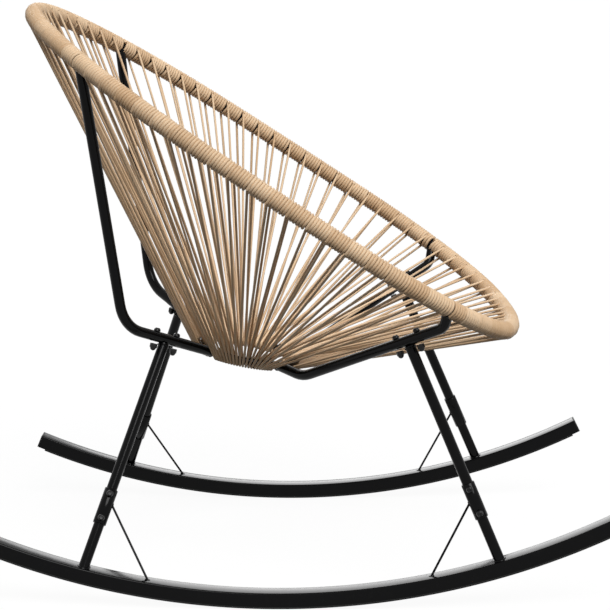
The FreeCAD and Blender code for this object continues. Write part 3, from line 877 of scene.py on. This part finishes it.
@dataclass(frozen=True)
class Anchor:
    """Where a cord passes a bar: the bar's middle, and the ways up and inward across it."""

    point: Vector
    up: Vector
    inward: Vector

    def around(self, angle: float, radius: float) -> Vector:
        """Point round the bar, at an angle from its inner side upwards."""
        return self.point + (self.inward * math.cos(angle) + self.up * math.sin(angle)) * radius


@dataclass
class Panel:
    """The winding and the seat cords of one stretch of the hoop."""

    lines: Skeleton
    wardrobe: Wardrobe
    stretch: Stretch
    ring_rod: float
    arm_clearance: float = 0.3
    pair_step: float = 1.6
    winding_cord: float = 5.1
    turn_pitch: float = 4.55
    turn_steps: int = 12
    turn_resolution: int = 1
    slit: float = 1.0
    inner_spread: float = 2.0
    outer_spread: float = 0.5
    turn_drift: float = 0.32
    drift_lift: float = 0.3
    taut_cord: float = 4.0
    taut_resolution: int = 3
    taut_share: float = 0.94
    slack: float = 0.1
    ring_lead: float = 2.0
    ring_swell: float = 1.08
    ring_turn: float = 0.8
    tail_turns: Triple = (0.8, 1.7, 2.6)

    def __post_init__(self) -> None:
        """Place the arms and the pairs of cords along the hoop, and the cords' share of the ring."""
        lines, stretch, ring = self.lines, self.stretch, self.lines.ring
        self.first, self.last = lines.weld_run(*stretch.begin), lines.weld_run(*stretch.end)
        if self.last < self.first:
            self.last += lines.hoop.length
        first, last = self.first + stretch.first_gap, self.last - stretch.last_gap
        self.pairs = [first + (last - first) * index / (stretch.pairs - 1) for index in range(stretch.pairs)]
        bare = (lines.arm_tube / 2 + lines.cord / 2 + self.arm_clearance) / ring.radius
        self.ring_first = ring.azimuth_of(lines.arm_route(*stretch.begin)[0][-1]) + bare
        self.ring_last = ring.azimuth_of(lines.arm_route(*stretch.end)[0][-1]) - bare
        if self.ring_last < self.ring_first:
            self.ring_last += math.tau
        self.ring_reach = (self.ring_rod + lines.cord) / 2 + self.slack

    def anchors(self, run: float, share: float) -> list[Anchor]:
        """Both ends of a cord.

        Args:
            run: Length along the hoop.
            share: Place on the ring, from 0 at the stretch's first arm to 1 at its last.

        Returns:
            Its anchors on hoop and ring.
        """
        rim = self.lines.hoop.at(run)
        ring = self.lines.ring.at(self.ring_first + share * (self.ring_last - self.ring_first))
        inward = ring.point - rim.point
        made = []
        for station in (rim, ring):
            up = station.tangent.cross(inward).normalized()
            up = up if up.dot(self.lines.hoop.up) > 0 else -up
            made.append(Anchor(station.point, up, square_to(inward, station.tangent)))
        return made

    def build(self) -> None:
        """Make the winding and the cords."""
        self.build_winding()
        self.build_cords()

    def build_winding(self) -> None:
        """Wind the cord from each pair's upper cord round the tube to the next pair's lower cord."""
        dice = random.Random(self.stretch.word)
        margin = (self.lines.cord + self.slit) / 2
        starts = [self.first + margin] + [pair + self.pair_step for pair in self.pairs]
        stops = [pair - self.pair_step for pair in self.pairs] + [self.last - margin]
        stock = CordStock(f"winding_{self.stretch.word}", self.winding_cord)
        # A spline of this order runs inside its control points by this share
        swell = 2.0 / (1.0 + math.cos(math.tau / self.turn_steps))
        radius = (self.lines.hoop_tube / 2 + self.lines.cord - self.winding_cord / 2) * swell
        for start, stop in zip(starts, stops):
            turns = max(1, round((stop - start) / self.turn_pitch - 0.5)) + 0.5
            count = round(turns * self.turn_steps)
            drifts = [dice.uniform(-self.turn_drift, self.turn_drift) for _ in range(math.ceil(turns) + 1)]
            route = []
            for share in (index / count for index in range(count + 1)):
                turn = math.tau * turns * share
                # The turns spread to fill the place where the cords leave, most on the seat's side
                outward = math.sin(turn)
                spread = outward * (self.outer_spread if outward > 0 else -self.inner_spread)
                whole, part = divmod(min(turns * share, turns - 1e-6), 1.0)
                drift = drifts[int(whole)] * (1.0 - part) + drifts[int(whole) + 1] * part
                run = start + (stop - start) * share + spread * (2.0 * share - 1.0) + drift
                rim, _ = self.anchors(run, (run - self.first) / (self.last - self.first))
                route.append(rim.around(turn + math.pi / 2, radius + drift * self.drift_lift))
            stock.lay(route, self.turn_resolution)
        self.wardrobe.dress(stock.finish(), Slot.CORD, [f"rim_wrap_{self.stretch.word}"])

    def round_ring(self, ring: Anchor, angles: Iterable[float]) -> list[Vector]:
        """Points of a cord round the ring's rod, at angles from the rod's inner side upwards."""
        return [ring.around(angle, self.ring_reach * self.ring_swell) for angle in angles]

    def cord_leg(self, rim: Anchor, ring: Anchor, layer: int) -> list[Vector]:
        """Points of a cord from the hoop to the ring's inner side.

        Args:
            rim: Its anchor on the hoop.
            ring: Its anchor on the ring.
            layer: 1 from the hoop's top, -1 from its underside.

        Returns:
            The points.
        """
        start = rim.point + rim.up * layer * (self.lines.hoop_tube + self.lines.cord) / 2
        end = ring.point + ring.up * layer * self.ring_reach
        return [start, start.lerp(end, self.taut_share), end + ring.inward * self.ring_lead,
                *self.round_ring(ring, [layer * self.ring_turn])]

    def build_cords(self) -> None:
        """String the cords, each from the hoop's underside round the ring to the top of the next pair."""
        stock = CordStock(f"seat_cord_{self.stretch.word}", self.taut_cord)
        count = self.stretch.pairs
        for index in range(count + 1):
            legs = []
            if index > 0:
                legs.append((*self.anchors(self.pairs[index - 1] - self.pair_step, index / count), -1))
            if index < count:
                legs.append((*self.anchors(self.pairs[index] + self.pair_step, index / count), 1))
            _, ring, layer = legs[0]
            route = self.cord_leg(*legs[0]) + self.round_ring(ring, [0.0])
            if len(legs) == 2:
                route += reversed(self.cord_leg(*legs[1]))
            else:
                # Beside an arm the cord ends behind the rod
                route += self.round_ring(ring, [-layer * turn for turn in self.tail_turns])
            stock.lay(route, self.taut_resolution)
        nodes = [f"seat_cords_{layer}_{self.stretch.word}" for layer in ("upper", "lower")]
        self.wardrobe.dress(stock.finish(), Slot.CORD, nodes)


@dataclass
class Leg:
    """One arm, with its saddle, leg, sleeve, post and stay."""

    lines: Skeleton
    wardrobe: Wardrobe
    end: End
    side: Side
    leg_tube: float = 16.0
    ring_short: float = 4.0
    ring_bead_inset: float = 0.6
    saddle_runs: Mapping[End, float] = per_end(88.0, 73.0)
    saddle_length: float = 58.0
    saddle_thickness: float = 3.0
    saddle_gap: float = 0.2
    saddle_lip: float = 3.5
    saddle_corner: tuple[float, int] = (3.2, 3)
    saddle_edge: Rounding = (0.5, 2, 60.0)
    least_lean: float = 0.5
    saddle_steps: int = 14
    sleeve_tube: float = 20.0
    sleeve_length: float = 55.0
    sleeve_rise: float = 66.0
    sleeve_clearance: float = 0.15
    sleeve_edge: float = 0.7
    sleeve_sides: int = 28
    foot_places: Mapping[End, float] = per_end(-280.0, 328.5)
    foot_depth: float = 4.0
    stay_rod: float = 3.5
    stay_sides: int = 12
    stay_places: Mapping[End, float] = per_end(-187.0, 230.0)
    stay_heights: Mapping[End, float] = per_end(32.0, 26.0)
    stay_top_depth: float = 1.0
    stay_foot_depth: float = 1.5

    def __post_init__(self) -> None:
        """Lay out the arm, the saddle's place on its axis, and the leg's axis from runner to saddle."""
        self.route, self.radii = self.lines.arm_route(self.end, self.side)
        self.arm_way = (self.route[2] - self.route[1]).normalized()
        self.arm_up = square_to(UP, self.arm_way)
        self.saddle = self.route[1] + self.arm_way * self.saddle_runs[self.end]
        self.saddle_drop = self.lines.arm_tube / 2 + self.saddle_gap + self.saddle_thickness
        self.foot = self.lines.rocker.on_top(self.foot_places[self.end], self.side)
        self.rise = (self.saddle - self.foot.point).normalized()
        self.sleeve_foot = self.foot.point + self.rise * self.sleeve_rise
        self.sleeve_middle = self.sleeve_foot + self.rise * (self.sleeve_length / 2)

    def build(self) -> None:
        """Make every piece of the leg."""
        self.build_arm()
        self.build_saddle()
        self.build_tubes()
        self.build_sleeve()
        self.build_stay()

    def add(self, word: str, *blanks: Blank, smooth_under: float = SMOOTH_UNDER) -> None:
        """Add one painted piece, named by a word and by the leg's end and side."""
        end, side = self.end.value, self.side.word
        self.wardrobe.add(f"{word}_{end}_{side}", blanks, Slot.FRAME, f"{end}_{word}_{side}", smooth_under)

    def build_arm(self) -> None:
        """Bend the arm and weld it to hoop and ring."""
        route, half = self.route, self.lines.arm_tube / 2
        inward = (route[-1] - route[-2]).normalized()
        drop = (route[1] - route[0]).normalized()
        ring_side = route[-1] - inward * self.ring_short
        self.add("arm", bent_tube([*route[:-1], ring_side], self.radii, self.lines.arm_tube),
                 Weld.HOOP.bead(route[0] + drop * self.lines.hoop_tube / 2, drop, drop, half),
                 Weld.RING.bead(ring_side, inward, inward, half - self.ring_bead_inset))

    def build_saddle(self) -> None:
        """Press the saddle: an arc drawn along the arm, its corners rounded, thickened and softened."""
        blank = Blank()
        inner = self.lines.arm_tube / 2 + self.saddle_gap
        spread = math.acos(self.saddle_lip / (inner + self.saddle_thickness / 2))
        rim = (inner * math.cos(spread), -inner * math.sin(spread), -self.saddle_length / 2)
        blank.turn([blank.bm.verts.new(rim)], Vector(), UP, 2 * spread, self.saddle_steps)
        blank.push(list(blank.bm.edges), UP * self.saddle_length)
        corners = [vert for vert in blank.bm.verts if len(vert.link_edges) == 2]
        blank.round_corners(corners, *self.saddle_corner)
        blank.face_out()
        # The sheet has to face the arm before it gets its thickness
        middle_face = max(blank.bm.faces, key=lambda face: face.calc_center_median().x)
        if middle_face.normal.x > 0:
            bmesh.ops.reverse_faces(blank.bm, faces=blank.bm.faces)
        bmesh.ops.solidify(blank.bm, geom=list(blank.bm.faces), thickness=-self.saddle_thickness)
        blank.face_out().soften(*self.saddle_edge)
        self.add("saddle", blank.move(standing(self.saddle, self.arm_way, -self.arm_up)))

    def build_tubes(self) -> None:
        """Make the upper tube and the post below it, which meet inside the sleeve."""
        rise, foot, half = self.rise, self.foot.point, self.leg_tube / 2
        top = self.saddle - rise * (self.lines.arm_tube / 2)
        under = self.saddle - rise * (self.saddle_drop / max(abs(rise.dot(self.arm_up)), self.least_lean))
        self.add("leg", bent_tube([self.sleeve_middle, top], [], self.leg_tube),
                 Weld.SADDLE.bead(under, rise, rise, half))
        self.add("post", bent_tube([foot - rise * self.foot_depth, self.sleeve_middle], [], self.leg_tube),
                 Weld.POST.bead(foot, self.foot.above, rise, half))

    def build_sleeve(self) -> None:
        """Turn the sleeve that joins the leg to its post."""
        outer, inner = self.sleeve_tube / 2, self.leg_tube / 2 + self.sleeve_clearance
        edge, long = self.sleeve_edge, self.sleeve_length
        sleeve = lathed([(inner, 0.0), (outer - edge, 0.0), (outer, edge), (outer, long - edge),
                         (outer - edge, long), (inner, long)], self.sleeve_sides, closed=True)
        self.add("sleeve", sleeve.move(standing(self.sleeve_foot, self.rise, LEFTWARD)), smooth_under=60.0)

    def build_stay(self) -> None:
        """Make the thin stay between the sleeve and the runner."""
        top = self.sleeve_foot + self.rise * self.stay_heights[self.end]
        foot = self.lines.rocker.on_top(self.stay_places[self.end], self.side)
        slant = (foot.point - top).normalized()
        out = square_to(slant, self.rise)
        outer, half = self.sleeve_tube / 2, self.stay_rod / 2
        ends = [top + out * (outer - self.stay_top_depth), foot.point + slant * self.stay_foot_depth]
        self.add("stay", bent_tube(ends, [], self.stay_rod, self.stay_sides),
                 Weld.STAY_FOOT.bead(foot.point, foot.above, slant, half),
                 Weld.STAY_TOP.bead(top + out * outer, out, slant, half))


@dataclass
class Runners:
    """Runners, glide strips and end caps."""

    lines: Skeleton
    wardrobe: Wardrobe
    width: float = 30.0
    edge_radius: float = 2.6
    edge_steps: int = 4
    steps: int = 72
    glide_width: float = 24.0
    glide_edge: float = 0.7
    glide_margin: float = 0.6
    cap_edge: Rounding = (0.8, 3, 70.0)

    def rocker_bar(self, middle: float, width: float, heights: tuple[float, float], edge: float,
                   angles: tuple[float, float], steps: int) -> Blank:
        """Bar with rounded edges, turned about the rocker's axis.

        Args:
            middle: Place of its middle along Y.
            width: Across the bar.
            heights: Heights of its underside and its top at the lowest line.
            edge: Radius of its long edges.
            angles: First and last angle from the lowest line, in degrees.
            steps: Number of steps between them.

        Returns:
            The closed bar.
        """
        rocker = self.lines.rocker
        blank = Blank()
        bottom, top = heights
        first, last = (math.radians(angle) for angle in angles)
        corners = ((-1, bottom), (1, bottom), (1, top), (-1, top))
        verts = [blank.bm.verts.new((rocker.lowest_x, middle + sign * width / 2, height))
                 for sign, height in corners]
        blank.bm.faces.new(verts)
        blank.round_corners(verts, edge, self.edge_steps)
        bmesh.ops.delete(blank.bm, geom=list(blank.bm.faces), context="FACES_ONLY")
        bmesh.ops.rotate(blank.bm, cent=rocker.axis_point, verts=blank.bm.verts,
                         matrix=Matrix.Rotation(first, 3, -LEFTWARD))
        blank.turn(list(blank.bm.edges), rocker.axis_point, -LEFTWARD, last - first, steps)
        return blank.close()

    def build(self) -> None:
        """Make both runners with their strips and caps."""
        rocker = self.lines.rocker
        rear, front = -rocker.rear_angle, rocker.front_angle
        floor = rocker.glide_thickness
        bar_heights = (floor, floor + rocker.runner_depth)
        glide_angles = (rear + self.glide_margin, front - self.glide_margin)
        head = math.degrees(rocker.cap_thickness / rocker.radius)
        for side in Side:
            middle = side.value * rocker.track / 2
            bar = self.rocker_bar(middle, self.width, bar_heights, self.edge_radius, (rear, front),
                                  self.steps)
            self.wardrobe.add(f"rocker_{side.word}", [bar], Slot.FRAME, f"runner_{side.word}")
            strip = self.rocker_bar(middle, self.glide_width, (0.0, floor), self.glide_edge, glide_angles,
                                    self.steps)
            self.wardrobe.add(f"glide_{side.word}", [strip], Slot.PLASTIC, f"glide_strip_{side.word}")
            for end, angles in ((End.REAR, (rear - head, rear)), (End.FRONT, (front, front + head))):
                cap = self.rocker_bar(middle, self.width, bar_heights, self.edge_radius, angles, 1)
                tag = f"{end.value}_{side.word}"
                self.wardrobe.add(f"cap_{tag}", [cap.soften(*self.cap_edge)], Slot.PLASTIC,
                                  f"end_cap_{tag}")


@dataclass
class Fasteners:
    """Saddle bolts, cap nuts and sleeve bolts; a head's dome is in shares of its half width and height."""

    legs: Sequence[Leg]
    wardrobe: Wardrobe
    seed: int = 29
    head_diameter: float = 10.5
    head_height: float = 5.0
    head_dome: Pairs = ((0.62, 0.97), (0.85, 0.72), (0.97, 0.38))
    head_edge: float = 0.35
    head_relief: float = 0.3
    socket_across: float = 4.0
    socket_depth: float = 2.2
    socket_margin: float = 0.1
    socket_edge: tuple[float, float] = (0.35, 0.2)
    shank: float = 6.0
    saddle_pitch: float = 42.0
    sleeve_pitch: float = 38.0
    nut_across: float = 10.0
    nut_height: float = 6.5
    nut_edge: Rounding = (0.45, 2, 45.0)
    dome_radius: float = 4.6
    dome_height: float = 4.5
    dome_depth: float = 0.3
    dome_steps: int = 7

    def bolt(self, place: Matrix, length: float) -> Blank:
        """Button-headed bolt with a hexagon socket, its head on a place and its shank below it.

        Args:
            place: Seat of the head, Z outwards.
            length: Length of the shank.

        Returns:
            The bolt.
        """
        wide, high, core = self.head_diameter / 2, self.head_height, self.shank / 2
        socket = self.socket_across / math.sqrt(3.0)
        floor = high - self.socket_depth
        out, down = self.socket_edge
        blank = lathed([
            (0.0, floor), (socket, floor), (socket, high - down), (socket + out, high),
            *((wide * across, high * rise) for across, rise in self.head_dome),
            (wide, self.head_edge), (wide - self.head_relief, 0.0), (core, 0.0), (core, -length),
            (0.0, -length),
        ])
        # The round socket is drawn in to a hexagon
        for vert in blank.bm.verts:
            reach = math.hypot(vert.co.x, vert.co.y)
            if vert.co.z > 0 and self.socket_margin < reach < socket + self.socket_margin:
                turn = math.atan2(vert.co.y, vert.co.x) % (math.pi / 3) - math.pi / 6
                shrink = math.cos(math.pi / 6) / math.cos(turn)
                vert.co.x *= shrink
                vert.co.y *= shrink
        return blank.move(place)

    def cap_nut(self, place: Matrix) -> list[Blank]:
        """Hexagon nut with a dome, standing on a place.

        Args:
            place: Seat of the nut, Z outwards.

        Returns:
            Its hexagon and its dome.
        """
        hexagon = Blank()
        radius = self.nut_across / math.sqrt(3.0)
        bmesh.ops.create_cone(hexagon.bm, cap_ends=True, segments=6, radius1=radius, radius2=radius,
                              depth=self.nut_height, matrix=Matrix.Translation(UP * (self.nut_height / 2)))
        hexagon.soften(*self.nut_edge)
        low, tall = self.nut_height - self.dome_depth, self.dome_height + self.dome_depth
        angles = (math.pi / 2 * step / self.dome_steps for step in range(self.dome_steps + 1))
        wide = self.dome_radius
        dome = lathed([(wide * math.cos(angle), low + tall * math.sin(angle)) for angle in angles])
        return [hexagon.move(place), dome.move(place)]

    def build(self) -> None:
        """Make all bolts and nuts."""
        saddle_bolts, nuts, sleeve_bolts = [], [], []
        dice = random.Random(self.seed)
        for leg in self.legs:
            arm, up = leg.lines.arm_tube / 2, leg.arm_up
            for sign in (-1, 1):
                spot = leg.saddle + leg.arm_way * (sign * self.saddle_pitch / 2)
                spin = Matrix.Rotation(dice.uniform(0.0, math.tau), 4, "Z")
                seat = standing(spot + up * arm, up, leg.arm_way)
                saddle_bolts.append(self.bolt(seat @ spin, 2 * arm))
                under = standing(spot - up * leg.saddle_drop, -up, leg.arm_way)
                nuts.extend(self.cap_nut(under @ spin))
            outward = square_to(LEFTWARD * leg.side.value, leg.rise)
            for sign in (-1, 1):
                spot = leg.sleeve_middle + leg.rise * (sign * self.sleeve_pitch / 2)
                spin = Matrix.Rotation(dice.uniform(0.0, math.tau), 4, "Z")
                seat = standing(spot + outward * (leg.sleeve_tube / 2), outward, leg.rise)
                sleeve_bolts.append(self.bolt(seat @ spin, leg.leg_tube / 2))
        self.wardrobe.add("bolts_saddle", saddle_bolts, Slot.FASTENER, "rail_bolts")
        self.wardrobe.add("nuts_saddle", nuts, Slot.FASTENER, "cap_nuts")
        self.wardrobe.add("bolts_sleeve", sleeve_bolts, Slot.FASTENER, "sleeve_bolts")


@dataclass
class Studio:
    """Floor, light and camera; each lamp has a name, a strength and the direction of its light's source."""

    eye: Vector = field(default_factory=lambda: Vector((84.2, -3007.3, 946.1)) * MM)
    yaw: float = -0.0267
    pitch: float = 0.1804
    roll: float = -0.003
    lens: float = 114.04
    sensor: float = 36.0
    farthest: float = 500.0
    floor_reach: float = 90.0
    floor_glow: float = 0.93
    floor_bounce: Triple = srgb(70, 70, 70)
    floor_seen: Triple = srgb(250, 250, 250)
    room: float = 0.36
    room_seen: float = 1.0
    lamp_width: float = 36.0
    lamps: tuple[tuple[str, float, Triple], ...] = (("key_lamp", 3.0, (0.3, -0.58, 0.76)),
                                                    ("back_lamp", 0.9, (-0.25, 0.9, 0.35)))

    def build(self) -> None:
        """Set up the whole studio."""
        self.build_floor()
        self.build_light()
        self.build_camera()

    @staticmethod
    def seen_rays(bench: NodeBench) -> Value:
        """One for a ray that comes from the camera, from gloss or through glass, else none."""
        rays = bench.node("ShaderNodeLightPath", {}, {})
        names = (f"Is {kind} Ray" for kind in ("Camera", "Glossy", "Transmission"))
        camera, glossy, through = (bench.out(rays, name) for name in names)
        return camera + glossy + through

    def build_floor(self) -> None:
        """Lay a pale floor that the camera sees as white, with the chair's soft shadow."""
        mesh = bpy.data.meshes.new("studio_floor")
        sheet = bmesh.new()
        bmesh.ops.create_grid(sheet, x_segments=1, y_segments=1, size=self.floor_reach)
        sheet.to_mesh(mesh)
        sheet.free()
        floor = add_object("studio_floor", mesh)
        material = bpy.data.materials.new("studio_floor")
        bench = NodeBench(material)
        seen = self.seen_rays(bench)
        tone = bench.blend(seen, self.floor_bounce, self.floor_seen)
        paper = bench.node("ShaderNodeBsdfDiffuse", {}, {"Color": tone})
        glow = bench.node("ShaderNodeEmission", {}, {"Color": WHITE, "Strength": 1.0})
        mixed = bench.node("ShaderNodeMixShader", {}, {
            0: seen * self.floor_glow, 1: bench.out(paper, 0), 2: bench.out(glow, 0)})
        bench.end("ShaderNodeOutputMaterial", mixed)
        mesh.materials.append(material)

    def build_light(self) -> None:
        """Light the chair from a plain room, a soft lamp high in front and a weak one low behind."""
        world = bpy.data.worlds.new("studio")
        bpy.context.scene.world = world
        bench = NodeBench(world)
        seen = self.seen_rays(bench)
        strength = seen * self.room_seen + (1.0 - seen) * self.room
        bench.end("ShaderNodeOutputWorld", bench.node("ShaderNodeBackground", {}, {
            "Color": WHITE, "Strength": strength}))
        for name, energy, source in self.lamps:
            lamp = bpy.data.lights.new(name, "SUN")
            lamp.energy = energy
            lamp.angle = math.radians(self.lamp_width)
            add_object(name, lamp).rotation_euler = Vector(source).to_track_quat("Z", "Y").to_euler()

    def build_camera(self) -> None:
        """Stand the camera where the photograph was taken from."""
        data = bpy.data.cameras.new("camera")
        data.lens, data.sensor_width = self.lens, self.sensor
        data.clip_end = self.farthest
        camera = add_object("camera", data)
        level = math.cos(self.pitch)
        forward = Vector((math.sin(self.yaw) * level, math.cos(self.yaw) * level, -math.sin(self.pitch)))
        camera.location = self.eye
        turn = forward.to_track_quat("-Z", "Y") @ Quaternion(UP, self.roll)
        camera.rotation_euler = turn.to_euler()
        bpy.context.scene.camera = camera


def main() -> None:
    """Build the chair's looks in order."""
    logging.basicConfig(level=logging.INFO, format="%(message)s")
    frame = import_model()
    log.info("%d packed nodes", len(frame["nodes"]))
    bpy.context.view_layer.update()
    bpy.context.scene.view_settings.view_transform = "Standard"
    lines = Skeleton()
    wardrobe = Wardrobe()
    Seat(lines, wardrobe).build()
    legs = [Leg(lines, wardrobe, end, side) for end in End for side in Side]
    for leg in legs:
        leg.build()
    Runners(lines, wardrobe).build()
    Fasteners(legs, wardrobe).build()
    Studio().build()


if __name__ == "__main__":
    main()
